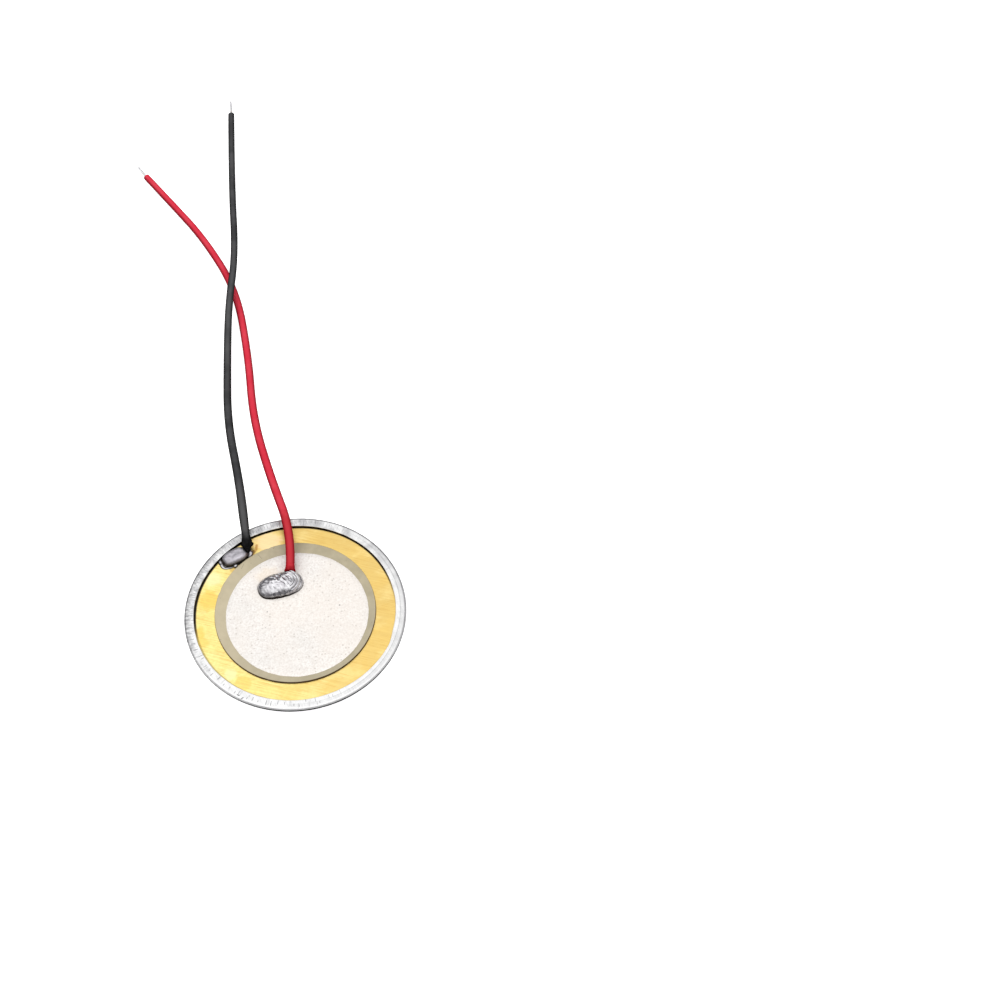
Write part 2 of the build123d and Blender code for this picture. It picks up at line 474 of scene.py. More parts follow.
def brass():
    """Rolled brass: fine streaks, a warmer and a paler side, flux stains, painted highlights on its left, a
    painted shadow line under the lip and a glue line at the ceramic with painted shade on its near side.
    """
    material, tree, shader = new_material("rolled brass", Metallic=1.0)
    grain = use(tree, streaks, Length=0.0034, Width=0.00008, Turn=math.radians(15))
    patch = use(tree, blotches, Size=0.0028, Detail=4.0, Seed=3.0)
    fade = use(tree, blotches, Size=0.0008, Detail=4.0, Seed=4.0)
    mottle = use(tree, blotches, Size=0.0004, Detail=4.0, Seed=2.0)
    bands = use(tree, streaks, Length=0.0035, Width=0.0018, Turn=math.radians(-12))
    place = add(tree, "ShaderNodeSeparateXYZ", {"Vector": surface_place(tree)})
    slope = calc(tree, "ADD", place.outputs["X"], calc(tree, "MULTIPLY", place.outputs["Y"], 0.35))
    colour = tint(tree, span(tree, slope, -0.012, 0.008), (0.98, 0.87, 0.35, 1), (0.76, 0.555, 0.193, 1))
    colour = glaze(tree, patch, 0.4, colour, (0.86, 0.59, 0.16, 1))
    colour = tint(tree, span(tree, bands, 0.48, 0.65, 0.0, 0.3), colour, (1.0, 0.87, 0.42, 1))
    colour = spotted(tree, colour, (0.88, 0.58, 0.10, 1), plate_top, 1.0,
                     (-0.0110, 0.0017, 0.0019, 0.7), (-0.0119, -0.0030, 0.0011, 0.6),
                     (-0.0113, -0.0043, 0.0011, 0.5), (-0.0060, -0.0100, 0.0013, 0.5))
    lines = calc(tree, "MULTIPLY", span(tree, grain, 0.56, 0.36, 0.0, 0.5), calc(tree, "ADD", fade, 0.25))
    colour = tint(tree, lines, colour, (0.68, 0.43, 0.11, 1))
    colour = glaze(tree, mottle, 0.25, colour, (0.76, 0.52, 0.16, 1))
    # Painted highlight: pale glaring spots on the left and lower left.
    colour = spotted(tree, colour, (1.0, 0.89, 0.55, 1), plate_top, 0.8,
                     (-0.0106, 0.0047, 0.0014, 0.5), (-0.0074, -0.0089, 0.0010, 0.45))
    colour = spotted(tree, colour, (1.0, 0.77, 0.5, 1), plate_top, 1.0, (-0.0039, 0.0102, 0.0022, 0.55))
    flux = hairlines(tree, plate_top,
                     ((-0.0054, 0.0098), (-0.0054, 0.0092), 0.00025),
                     ((-0.0056, 0.0090), (-0.0058, 0.0086), 0.0003))
    drip = use(tree, stain, Place=(-0.0082, 0.0062, plate_top), Reach=0.0007, Wobble=0.8)
    flux = calc(tree, "MAXIMUM", flux, calc(tree, "MULTIPLY", drip, 0.5))
    colour = glaze(tree, flux, 0.75, colour, (0.46, 0.21, 0.05, 1))
    # Painted shadow: a dark line on the brass just inside the lip, shown on the far side and the left, where
    # the lip shades it.
    lip_shadow_line = use(tree, ring_line, Radius=lip_radius + 0.00006, Width=0.00026, Wobble=0.00004)
    glue_and_shade_line = use(tree, ring_line, Radius=ceramic_radius, Width=0.00006, Wobble=0.00004)
    far_side = calc(tree, "MULTIPLY_ADD", place.outputs["X"], -0.35, place.outputs["Y"])
    left = span(tree, place.outputs["X"], 0.001, -0.004, 0.0, 0.45)
    shaded = calc(tree, "MAXIMUM", left, span(tree, far_side, -0.003, 0.003))
    lip_shadow_line = calc(tree, "MULTIPLY", lip_shadow_line, shaded)
    # The glue line at the ceramic's edge, darker towards the near side as painted shade.
    near_side = calc(tree, "SUBTRACT", calc(tree, "MULTIPLY", place.outputs["X"], 0.5), place.outputs["Y"])
    glue_and_shade_line = calc(tree, "MULTIPLY", glue_and_shade_line, span(tree, near_side, -0.006, 0.008, 0.25, 1.0))
    colour = tint(tree, glue_and_shade_line, colour, (0.09, 0.04, 0.02, 1))
    colour = tint(tree, lip_shadow_line, colour, (0.02, 0.016, 0.014, 1))
    tree.links.new(colour, shader.inputs["Base Color"])
    tree.links.new(span(tree, grain, 0.3, 0.7, 0.40, 0.28), shader.inputs["Roughness"])
    set_bump(tree, shader, grain, 0.000008)
    return material


def fired_silver():
    """Printed silver, fired matt: off-white with a pinkish mottle, a fine grain and grey specks."""
    material, tree, shader = new_material("fired silver", Metallic=0.35)
    mottle = use(tree, blotches, Size=0.0026, Detail=6.0, Seed=5.0)
    grain = use(tree, blotches, Size=0.00022, Detail=4.0, Seed=6.0)
    broad_tint = use(tree, blotches, Size=0.006, Detail=3.0, Seed=8.0)
    dots = use(tree, specks, Spacing=0.0004, Share=0.4, Size_share=0.3)
    pits = use(tree, specks, Spacing=0.0009, Share=0.14, Size_share=0.12)
    colour = tint(tree, grain, (0.745, 0.705, 0.665, 1), (0.88, 0.86, 0.83, 1))
    colour = glaze(tree, mottle, 0.4, colour, (0.74, 0.71, 0.67, 1))
    colour = glaze(tree, broad_tint, 0.4, colour, (0.88, 0.80, 0.72, 1))
    colour = glaze(tree, dots, 0.55, colour, (0.52, 0.47, 0.42, 1))
    colour = glaze(tree, pits, 0.8, colour, (0.26, 0.24, 0.23, 1))
    colour = spotted(tree, colour, (0.86, 0.70, 0.50, 1), silver_high.z, 0.5, (-0.0035, 0.0048, 0.0021, 0.35))
    tree.links.new(colour, shader.inputs["Base Color"])
    tree.links.new(span(tree, grain, 0.0, 1.0, 0.62, 0.5), shader.inputs["Roughness"])
    set_bump(tree, shader, calc(tree, "SUBTRACT", grain, dots), 0.00001)
    return material


def ceramic():
    """Fired khaki-grey ceramic with a mottle, dark pores and a few hairline cracks."""
    material, tree, shader = new_material("fired ceramic")
    mottle = use(tree, blotches, Size=0.0012, Detail=5.0, Seed=11.0)
    pores = use(tree, specks, Spacing=0.0005, Share=0.25, Size_share=0.14)
    colour = tint(tree, mottle, (0.36, 0.315, 0.21, 1), (0.425, 0.37, 0.25, 1))
    place = add(tree, "ShaderNodeSeparateXYZ", {"Vector": surface_place(tree)})
    paler = span(tree, place.outputs["X"], -0.002, -0.010, 0.0, 0.45)
    colour = tint(tree, paler, colour, (0.58, 0.50, 0.34, 1))
    colour = glaze(tree, pores, 0.5, colour, (0.2, 0.18, 0.13, 1))
    crack_width = 0.00003
    cracks = hairlines(tree, ceramic_high,
                       ((-0.0071, 0.0062), (-0.0068, 0.0069), crack_width),
                       ((-0.0051, 0.0083), (-0.0046, 0.0077), crack_width),
                       ((-0.0031, 0.0095), (-0.0032, 0.0091), crack_width))
    colour = glaze(tree, cracks, 0.8, colour, (0.1, 0.09, 0.07, 1))
    edge = use(tree, ring_line, Radius=ceramic_radius, Width=0.00004, Wobble=0.00002)
    colour = tint(tree, edge, colour, (0.08, 0.05, 0.028, 1))
    tree.links.new(colour, shader.inputs["Base Color"])
    tree.links.new(span(tree, mottle, 0.0, 1.0, 0.5, 0.4), shader.inputs["Roughness"])
    set_bump(tree, shader, calc(tree, "SUBTRACT", mottle, pores), 0.000008)
    return material


def bond():
    """Cured adhesive that shows as a thin dark line under the ceramic."""
    material, tree, shader = new_material("cured adhesive")
    mottle = use(tree, blotches, Size=0.0008, Detail=3.0, Seed=13.0)
    colour = tint(tree, mottle, (0.07, 0.045, 0.025, 1), (0.15, 0.10, 0.055, 1))
    tree.links.new(colour, shader.inputs["Base Color"])
    tree.links.new(span(tree, mottle, 0.0, 1.0, 0.3, 0.5), shader.inputs["Roughness"])
    return material


def solder(name, bright, dull, smooth, rough, seed):
    """Frozen solder: bright metal with dull frosted patches, fine pits, and dark seams of burnt flux with
    painted shade.
    """
    material, tree, shader = new_material(name, Metallic=1.0)
    frost = use(tree, blotches, Size=0.0006, Detail=5.0, Seed=seed)
    pits = use(tree, specks, Spacing=0.00035, Share=0.3, Size_share=0.2)
    colour = tint(tree, frost, bright, dull)
    colour = glaze(tree, pits, 0.5, colour, (0.2, 0.19, 0.2, 1))
    # How dark each point was made: burnt flux with painted shade in the seams, and painted shade on the red
    # drop's near side.
    dirt = add(tree, "ShaderNodeAttribute", attribute_name="dirt").outputs["Fac"]
    colour = tint(tree, dirt, colour, (0.02, 0.016, 0.014, 1))
    tree.links.new(colour, shader.inputs["Base Color"])
    tree.links.new(span(tree, frost, 0.0, 1.0, smooth, rough), shader.inputs["Roughness"])
    set_bump(tree, shader, calc(tree, "SUBTRACT", frost, pits), 0.00001)
    return material


def lead_cover(name, colour, patchy, shade_over_disc, scorch_and_flank_shade, end, scorch, gloss, seed):
    """Extruded plastic: soft gloss, rubbed patches, dust, a scorched end at the solder, and painted shade
    down its flanks and along the stretch over the disc.
    """
    shade_over_disc_reach = 0.0112
    material, tree, shader = new_material(name, Specular_IOR_Level=0.0, Coat_Roughness=0.4)
    rub = use(tree, blotches, Size=0.0018, Detail=6.0, Seed=seed)
    lines = use(tree, streaks, Length=0.00016, Width=0.006, Turn=math.radians(8))
    dust = use(tree, specks, Spacing=0.0006, Share=0.15, Size_share=0.1)
    heat = use(tree, stain, Place=end, Reach=scorch, Wobble=0.5)
    shade = glaze(tree, rub, 0.6, colour, patchy)
    shade = glaze(tree, dust, 0.25, shade, (0.6, 0.58, 0.57, 1))
    # Painted shade: the stretch near the solder, over the disc, darker.
    broad_tint = use(tree, stain, Place=end, Reach=shade_over_disc_reach, Wobble=0.3)
    shade = tint(tree, span(tree, broad_tint, 0.3, 0.75, 0.0, 0.75), shade, shade_over_disc)
    shade = glaze(tree, heat, 0.9, shade, scorch_and_flank_shade)
    # Painted shade: darker down the flanks and underneath, by how far the surface turns from facing up.
    facing = add(tree, "ShaderNodeTexCoord").outputs["Normal"]
    normal = add(tree, "ShaderNodeSeparateXYZ", {"Vector": facing})
    shade = tint(tree, span(tree, normal.outputs["Z"], 0.97, 0.5, 0.0, 0.6), shade, scorch_and_flank_shade)
    side = add(tree, "ShaderNodeLayerWeight", {"Blend": 0.5}).outputs["Facing"]
    unburnt = calc(tree, "SUBTRACT", 1.0, heat)
    coat = calc(tree, "MULTIPLY", span(tree, side, 0.1, 0.6, gloss, 0.0), unburnt)
    tree.links.new(coat, shader.inputs["Coat Weight"])
    tree.links.new(shade, shader.inputs["Base Color"])
    tree.links.new(span(tree, rub, 0.0, 1.0, 0.34, 0.48), shader.inputs["Roughness"])
    set_bump(tree, shader, calc(tree, "ADD", lines, rub), 0.000012)
    return material


def tinned():
    """Tinned copper strands, bright with a few coppery spots."""
    material, tree, shader = new_material("tinned strands", Metallic=1.0)
    wear = use(tree, blotches, Size=0.0005, Detail=4.0, Seed=17.0)
    colour = tint(tree, span(tree, wear, 0.75, 1.0, 0.0, 0.5), (0.88, 0.88, 0.89, 1), (0.72, 0.55, 0.44, 1))
    tree.links.new(colour, shader.inputs["Base Color"])
    tree.links.new(span(tree, wear, 0.0, 1.0, 0.34, 0.5), shader.inputs["Roughness"])
    return material


sheet_finish = aluminium()
brass_finish = brass()
silver_finish = fired_silver()
ceramic_finish = ceramic()
bond_finish = bond()
bright_solder = solder("bright solder", bright=(0.70, 0.695, 0.71, 1), dull=(0.50, 0.485, 0.51, 1),
                       smooth=0.16, rough=0.34, seed=21.0)
satin_solder = solder("satin solder", bright=(0.54, 0.52, 0.56, 1), dull=(0.44, 0.425, 0.455, 1),
                      smooth=0.40, rough=0.52, seed=24.0)
# For each lead the third colour is painted shade over the disc, and the fourth both colours the scorched end
# and is the painted shade of the flanks.
red_plastic = lead_cover(
    "red plastic", colour=(0.605, 0.028, 0.053, 1), patchy=(0.67, 0.06, 0.088, 1),
    shade_over_disc=(0.44, 0.022, 0.03, 1), scorch_and_flank_shade=(0.20, 0.003, 0.006, 1),
    end=red_route[0], scorch=0.0010, gloss=0.25, seed=27.0)
black_plastic = lead_cover(
    "black plastic", colour=(0.034, 0.034, 0.036, 1), patchy=(0.082, 0.082, 0.085, 1),
    shade_over_disc=(0.058, 0.058, 0.06, 1), scorch_and_flank_shade=(0.006, 0.006, 0.006, 1),
    end=black_route[0], scorch=0.0026, gloss=0.6, seed=31.0)
tinned_finish = tinned()


# Aluminium shell

def shell_section():
    """The folded sheet's section: below, round the rim, over the lip and back along the inside."""
    upper_fold = 0.00036
    lower_fold = 0.0005
    edge_round = 0.00004
    draw_bend = 0.00025
    lip_underside = lip_top - sheet
    setback = sheet * math.tan(math.atan2(step_height, flange_radius - base_radius) / 2)
    wall_radius = rim_radius - sheet
    undercut = 0.0002
    # Radius, height, bend and steps of each corner
    corners = [
        (port_radius, 0.0, edge_round, 3),
        (base_radius, 0.0, draw_bend + sheet, 5),
        (flange_radius, step_height, draw_bend, 5),
        (rim_radius, step_height, lower_fold, 6),
        (rim_radius, lip_top, upper_fold, 12),
        (lip_radius, lip_top, edge_round, 4),
        (lip_radius, lip_underside + undercut, edge_round, 3),
        (lip_radius + 2 * undercut, lip_underside, 0.0, 0),
        (wall_radius, lip_underside, 0.0, 0),
        (wall_radius, plate_seat, 0.0, 0),
        (flange_radius - setback, plate_seat, draw_bend + sheet, 3),
        (base_radius - setback, sheet, draw_bend, 3),
        (port_radius, sheet, edge_round, 3),
    ]
    return spaced_path(rounded_path(corners), lip_gap=0.0001, other_gap=0.0012)


def crimp_marks():
    """Small radial dents left on the lip by the crimping tool.

    Each has a bearing, a width, a depth, an inner and an outer radius. They are fine and close at the
    upper left, short and apart at the lower left, and rare on the right.
    """
    draw = random.Random(4)
    stretches = ((80, 190, 70, 3e-6, 1.4e-5), (190, 285, 22, 5e-6, 1.6e-5), (285, 440, 16, 3e-6, 1e-5))
    marks = []
    for first, last, count, shallow, deep in stretches:
        for _ in range(count):
            bearing = math.radians(draw.uniform(first, last))
            width = draw.uniform(0.00005, 0.00009)
            depth = draw.uniform(shallow, deep)
            inner = lip_radius + draw.uniform(0.0, 0.0007)
            outer = inner + draw.uniform(0.0003, 0.0009)
            marks.append((bearing, width, depth, inner, outer))
    return marks


def lip_edge_shift(angle):
    """How far the lip's cut edge strays from a circle: set back on its left, with one step on its right."""
    set_back = 0.00004
    step_depth = 0.00018
    step_bearing = math.radians(-21)
    short_side = math.radians(7)
    long_side = math.radians(34)
    left_depth = 0.00013
    left_bearing = math.radians(182)
    off = math.remainder(angle - step_bearing, math.tau)
    side = short_side if off > 0 else long_side
    step = step_depth * max(0.0, 1 - abs(off) / side)
    left = left_depth * max(0.0, math.cos(angle - left_bearing)) ** 3
    uneven = 0.00005 * ripple(angle, 2.5, 1.0) + 0.00002 * ripple(angle, 14.0, 2.0)
    return set_back + step + left + uneven


def aluminium_shell():
    """The section turned about the axis, with its cut edge, crimp dents and press line, and how dark each
    point is: painted shade in the dents, on the left shoulder and under the rim, and the darker press line.
    """
    columns = 960
    edge_reach = 0.0006
    wave_height = 0.000012
    deepest_dent = 0.000016
    press_line = lip_radius + 0.0006
    press_half_width = 0.00005
    press_depth = 0.000006
    shoulder_width = 0.0003
    under_rim = lip_top - 0.66 * sheet
    section = shell_section()
    marks = crimp_marks()
    angles = np.linspace(-math.pi, math.pi, columns, endpoint=False)
    edge = np.array([lip_edge_shift(angle) for angle in angles])
    wave = np.array([ripple(angle, 5.0, 3.0) for angle in angles])
    pressed = np.clip(1.6 - abs(angles + 0.25), 0, 1)
    shaded = np.clip(np.cos(angles - math.radians(172)) * 2.4 - 1.4, 0, 1)
    near_side = np.clip(0.3 - 0.8 * np.sin(angles) + 0.35 * np.cos(angles), 0, 1)
    vertices = []
    dirt = []
    for point in section:
        radius = np.full(columns, point.x)
        height = np.full(columns, point.y)
        dark = np.zeros(columns)
        on_lip = point.y > lip_top - sheet / 2
        if point.y > plate_top and point.x > lip_radius - sheet:
            radius = radius + edge * (1 - share_between(point.x, lip_radius, lip_radius + edge_reach))
        if on_lip:
            height = height + wave_height * wave
            for bearing, width, depth, inner, outer in marks:
                if inner < point.x < outer:
                    off = np.remainder(angles - bearing + math.pi, math.tau) - math.pi
                    dent = np.exp(-(off * point.x / width) ** 2)
                    height = height - depth * dent
                    # Painted shade: each crimp dent darker by its depth.
                    dark = np.maximum(dark, 0.32 * dent * depth / deepest_dent)
        if on_lip and point.x > press_line - press_half_width:
            height = height - press_depth * pressed
            strength = 0.355 if point.x < press_line + press_half_width else 0.11
            dark = np.maximum(dark, strength * pressed)
        # Painted shade under the rim, darkest on the near side.
        if point.x > rim_radius - 2 * sheet:
            below = share_between(point.y, under_rim, under_rim - sheet / 6)
            dark = np.maximum(dark, near_side * below)
        # Painted shade: the lip's outer shoulder smeared grey on its left.
        shoulder = share_between(point.x, press_line, press_line + shoulder_width)
        if point.y > lip_top - sheet and shoulder > 0:
            smear = np.array([ripple(angle, 45.0, point.x * 2000) for angle in angles])
            dark = np.maximum(dark, np.clip(0.32 + 0.56 * smear, 0, 1) * shoulder * shaded)
        vertices.extend(zip(radius * np.cos(angles), radius * np.sin(angles), height))
        dirt.extend(dark)
    faces = ring_faces(len(section), columns, closed_rows=True)
    piece = new_piece("aluminium_shell_sheet", vertices, faces, sheet_finish, "shell", "aluminium_shell")
    set_darkness(piece, dirt)
    return piece


# Ceramic disc and its upper silver film

def round_layer(name, centre, radius, low, high, edge, ragged, material, slot, node):
    """A thin round layer with a softened edge that strays a little from a true circle."""
    columns = 480
    angles = np.linspace(-math.pi, math.pi, columns, endpoint=False)
    stray = np.array([ragged(angle) for angle in angles])
    shares = (0.02, 0.2, 0.4, 0.6, 0.8, 0.92)
    rows = [(share * (radius - edge), high, 0.0) for share in shares]
    bevel = 0.3 * edge
    rows += [(radius - edge, high, 1.0), (radius - bevel, high - bevel, 1.0)]
    rows += [(radius, high - edge, 1.0), (radius, low, 1.0)]
    rows += [(share * (radius - edge), low, 0.0) for share in reversed(shares)]
    vertices = []
    for row_radius, height, follows in rows:
        reach = row_radius + stray * follows
        vertices.extend(zip(centre.x + reach * np.cos(angles), centre.y + reach * np.sin(angles),
                            np.full(columns, height)))
    faces = [tuple(reversed(face)) for face in ring_faces(len(rows), columns)]
    faces.append(tuple(range(columns)))
    faces.append(tuple(reversed(range((len(rows) - 1) * columns, len(rows) * columns))))
    return new_piece(name, vertices, faces, material, slot, node)


def ceramic_edge(angle):
    """Fine unevenness of the fired edge, with a few shallow chips."""
    chip = max(0.0, ripple(angle, 9.0, 6.0) - 0.55) * 0.0003
    return 0.000012 * ripple(angle, 30.0, 7.0) - chip


def silver_edge(angle):
    """The printed edge is slightly ragged."""
    return 0.000035 * ripple(angle, 6.0, 8.0) + 0.00003 * ripple(angle, 45.0, 9.0)


# Solder

Oval = namedtuple("Oval", "x y length width height turn fullness slope squareness")


def oval_share(x, y, oval):
    """How far out a place lies in an oval: 0 in its middle and 1 at its edge."""
    cos, sin = math.cos(oval.turn), math.sin(oval.turn)
    along = ((x - oval.x) * cos + (y - oval.y) * sin) / (oval.length / 2)
    across = ((y - oval.y) * cos - (x - oval.x) * sin) / (oval.width / 2)
    return (abs(along) ** oval.squareness + abs(across) ** oval.squareness) ** (1 / oval.squareness)


def oval_height(x, y, oval):
    """Height of one blob of solder over a place."""
    return oval.height * np.clip(1 - oval_share(x, y, oval) ** oval.fullness, 0, None) ** oval.slope


def foot_reach(angles, x, y, foot):
    """Distance along each bearing from a place inside the solder to the edge of its foot."""
    steps = np.linspace(0, 0.004, 2000)
    along_x = x + np.outer(np.cos(angles), steps)
    along_y = y + np.outer(np.sin(angles), steps)
    inside = np.min([oval_share(along_x, along_y, oval) for oval in foot], axis=0) <= 1
    return steps[np.max(np.where(inside, np.arange(len(steps)), 0), axis=1)]


def solder_drop(name, middle, seat, foot, crown, wrinkle, dark_side_bearing, materials, node):
    """Blobs of frozen solder on one foot, wrinkled, dark at the foot and round the crown with burnt flux and
    painted shade.

    The crown takes the last of the materials. The dark line at the foot is widest at the dark side's bearing,
    where the lower slope is darkened too: painted shade on the red drop's near side, burnt flux on the black
    drop's left.
    """
    columns, rows = 320, 80
    x0, y0 = middle
    angles = np.linspace(-math.pi, math.pi, columns, endpoint=False)
    reach = foot_reach(angles, x0, y0, foot)
    reach = reach * (1 + 0.025 * np.array([ripple(angle, 3.0, 12.0) for angle in angles]))
    shares = np.sin(np.arange(1, rows + 1) / rows * math.pi / 2)
    x = np.append(x0, (x0 + shares[:, None] * reach * np.cos(angles)).ravel())
    y = np.append(y0, (y0 + shares[:, None] * reach * np.sin(angles)).ravel())
    share = np.append(0.0, np.repeat(shares, columns))
    joined = sum(oval_height(x, y, oval) ** 6 for oval in foot + crown) ** (1 / 6)
    creases = np.array([wrinkle(*place) for place in zip(x, y)])
    height = seat + joined + creases * np.clip((1 - share) * 6, 0, 1)
    height[-columns:] = seat
    # The dark side: painted shade on the red drop's near side, burnt flux on the black drop's left.
    dark_side = np.append(0.0, np.tile(np.clip(np.cos(angles - math.radians(dark_side_bearing)), 0, 1), rows))
    # Burnt flux with painted shade: a dark line round the foot, widest on the dark side.
    dirt = np.clip((share - 0.96 + 0.05 * dark_side) / 0.05, 0, 1)
    dirt = np.maximum(dirt, 0.3 * dark_side * np.clip((share - 0.5) / 0.3, 0, 1))
    # Burnt flux with painted shade in the seam round the crown's foot.
    for oval in crown:
        dirt = np.maximum(dirt, np.clip(1.3 - abs(oval_share(x, y, oval) - 1.03) / 0.13, 0, 1))
    faces = [(0, 1 + column, 1 + (column + 1) % columns) for column in range(columns)]
    faces += [tuple(index + 1 for index in reversed(face)) for face in ring_faces(rows, columns)]
    faces.append(tuple(reversed(range(1 + (rows - 1) * columns, 1 + rows * columns))))
    piece = new_piece(name, np.stack([x, y, height], 1), faces, materials[0], "solder", node)
    set_darkness(piece, dirt)
    for oval in crown:
        piece.data.materials.append(materials[-1])
        inside = oval_share(x, y, oval) < 1
        piece.data.polygons.foreach_set("material_index", [int(all(inside[list(face)])) for face in faces])
    return piece


def red_wrinkle(x, y):
    """Leaf-like creases over the middle, and rings like tide marks at the right end."""
    crease_height = 0.0002
    fine_height = 0.00003
    ring_height = 0.00006
    ring_gap = 0.00035
    ring_middle = 0.0006
    cos, sin = math.cos(red_turn), math.sin(red_turn)
    along = (x - red_middle[0]) * cos + (y - red_middle[1]) * sin
    across = (y - red_middle[1]) * cos - (x - red_middle[0]) * sin
    leaf = Vector((along * 1700 + across * 1200, across * 1300 - along * 700, 4.0))
    creases = crease_height * (0.3 - abs(noise.noise(leaf)))
    fine = fine_height * noise.noise(leaf * 2.3)
    tide = math.hypot(along - ring_middle, across * 1.2)
    rings = ring_height * math.sin(tide / ring_gap * math.tau)
    end = share_between(along, 0.0010, 0.0015)
    calm = share_between(along, -0.0021, -0.0013)
    return (creases + fine) * (1 - end) * (0.25 + 0.75 * calm) + rings * end


def black_wrinkle(x, y):
    """A satin top with shallow dents."""
    place = Vector((x * 900, y * 900, 9.0))
    return 0.00006 * noise.noise(place) + 0.00003 * noise.noise(place * 3.1)


red_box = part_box("red_solder_drop")
black_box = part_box("black_solder_drop")
red_turn = math.radians(17)
red_middle = ((red_box[0].x + red_box[1].x) / 2, (red_box[0].y + red_box[1].y) / 2)
black_turn = math.radians(32)


def red_solder():
    drop = Oval(*red_middle, length=0.0058, width=0.0035, height=red_box[1].z - red_box[0].z,
                turn=red_turn, fullness=2.4, slope=0.6, squareness=2.5)
    mound = Oval(-0.00085, 0.0050, length=0.0018, width=0.0013, height=0.00105,
                 turn=red_turn, fullness=3.0, slope=0.6, squareness=2.0)
    return solder_drop("red_solder_bead", red_middle, red_box[0].z, [drop, mound], [], red_wrinkle,
                       dark_side_bearing=260, materials=[bright_solder], node="red_solder_drop")


def black_solder():
    skirt = Oval(-0.0083, 0.0075, length=0.0036, width=0.0020, height=0.0003,
                 turn=black_turn, fullness=2.2, slope=0.5, squareness=2.2)
    lobe = Oval(-0.00648, 0.00842, length=0.0015, width=0.0012, height=0.00045,
                turn=math.radians(40), fullness=2.2, slope=0.6, squareness=2.0)
    bead_places = ((-0.0097, 0.0072, 0.0009), (-0.0091, 0.0067, 0.0008),
                   (-0.00795, 0.00672, 0.0007), (-0.00705, 0.00895, 0.0006))
    beads = [Oval(x, y, size, size, height=0.0004, turn=0.0, fullness=2.0, slope=0.5, squareness=2.0)
             for x, y, size in bead_places]
    pebble = Oval(-0.00804, 0.0079, length=0.0034, width=0.0021, height=0.0009,
                  turn=black_turn, fullness=5.0, slope=0.5, squareness=2.8)
    seat = pebble._replace(height=0.0003)
    middle = (-0.0077, 0.0078)
    foot = [skirt, lobe, seat, *beads]
    return solder_drop("black_solder_bead", middle, black_box[0].z, foot, [pebble], black_wrinkle,
                       dark_side_bearing=150, materials=[bright_solder, satin_solder], node="black_solder_drop")


# Leads

def lead_line(name, route, widths):
    """The lead's smooth line through its route, with the cover's width along it."""
    curve = bpy.data.curves.new(name, "CURVE")
    curve.dimensions = "3D"
    curve.resolution_u = 24
    spline = curve.splines.new("NURBS")
    spline.points.add(len(route) - 1)
    for point, place, width in zip(spline.points, route, widths):
        point.co = (*place, 1.0)
        point.radius = width
    spline.order_u = 3
    spline.use_endpoint_u = True
    return curve


def lead_points(route):
    """Points along a lead's smooth line, from the solder."""
    curve = lead_line("smooth line", route, [1.0] * len(route))
    line = bpy.data.objects.new("smooth line", curve)
    mesh = bpy.data.meshes.new_from_object(line)
    points = [vertex.co.copy() for vertex in mesh.vertices]
    bpy.data.objects.remove(line)
    bpy.data.curves.remove(curve)
    bpy.data.meshes.remove(mesh)
    return points


def lead(name, route, length, swollen, material, slot, tip, *nodes):
    """One covered lead, a little swollen by the heat towards the solder."""
    widths = swollen + list(np.linspace(1.01, 0.86, len(route) - len(swollen)))
    curve = lead_line(name, route, widths)
    curve.bevel_depth = cover_diameter / 2
    curve.bevel_resolution = 8
    curve.use_fill_caps = True
    curve.materials.append(material)
    piece = join_part(bpy.data.objects.new(name, curve), slot, *nodes)
    return piece


def melted_end(name, route, neck, reach, widths, lumps, folds, material, slot):
    """The end of a cover, swollen and crumpled by the solder's heat, with a neck into the solder."""
    columns = 48
    points = lead_points(route)
    back = (points[0] - points[1]).normalized()
    points = [points[0] + back * (neck * step / 4) for step in (4, 3, 2, 1)] + points
    vertices = []
    rows = 0
    run = 0.0
    for index, point in enumerate(points[:-1]):
        if run > reach:
            break
        ahead = (points[index + 1] - point).normalized()
        side = ahead.cross(Vector((0, 0, 1))).normalized()
        over = side.cross(ahead)
        share = run / reach
        width = np.interp(share, *zip(*widths))
        for column in range(columns):
            angle = column / columns * math.tau
            around = Vector((math.cos(angle) * 1.9, math.sin(angle) * 1.9, share * 7))
            swell = lumps * noise.noise(around) + 0.1 * lumps * noise.noise(around * 4)
            fold = 0.06 * math.cos(folds * angle) * max(0.0, 1 - share * 2.5)
            wide = cover_diameter / 2 * (width + (swell + fold) * (1 - share))
            vertices.append(point + (side * math.cos(angle) + over * math.sin(angle)) * wide)
        rows += 1
        run += (points[index + 1] - point).length
    faces = ring_faces(rows, columns)
    faces.append(tuple(reversed(range(columns))))
    faces.append(tuple(range((rows - 1) * columns, rows * columns)))
    return new_piece(name, vertices, faces, material, slot)


def strand_tip(name, route, length, bend, node):
    """Seven tinned strands twisted together, bared at the end of a lead."""
    columns, rows = 42, 60
    strands = 7
    turns = 1.4
    sunk = 0.0002
    start = Vector(route[-1])
    ahead = (start - Vector(route[-2])).normalized()
    side = ahead.cross(Vector((0, 0, 1))).normalized()
    over = side.cross(ahead)
    vertices = []
    for row in range(rows):
        share = row / (rows - 1)
        middle = start + ahead * (share * length - sunk * (1 - share)) + side * (bend * share * share)
        taper = math.sqrt(max(0.0, 1 - max(0.0, (share - 0.9) / 0.1) ** 2)) * 0.9 + 0.1
        for column in range(columns):
            angle = column / columns * math.tau
            ridge = abs(math.cos(strands / 2 * (angle + share * turns * math.tau)))
            reach = core_radius * taper * (0.78 + 0.22 * ridge)
            vertices.append(middle + (side * math.cos(angle) + over * math.sin(angle)) * reach)
    faces = ring_faces(rows, columns)
    faces.append(tuple(reversed(range(columns))))
    faces.append(tuple(range((rows - 1) * columns, rows * columns)))
    return new_piece(name, vertices, faces, tinned_finish, "core", node)


# Stage: floor, light and camera

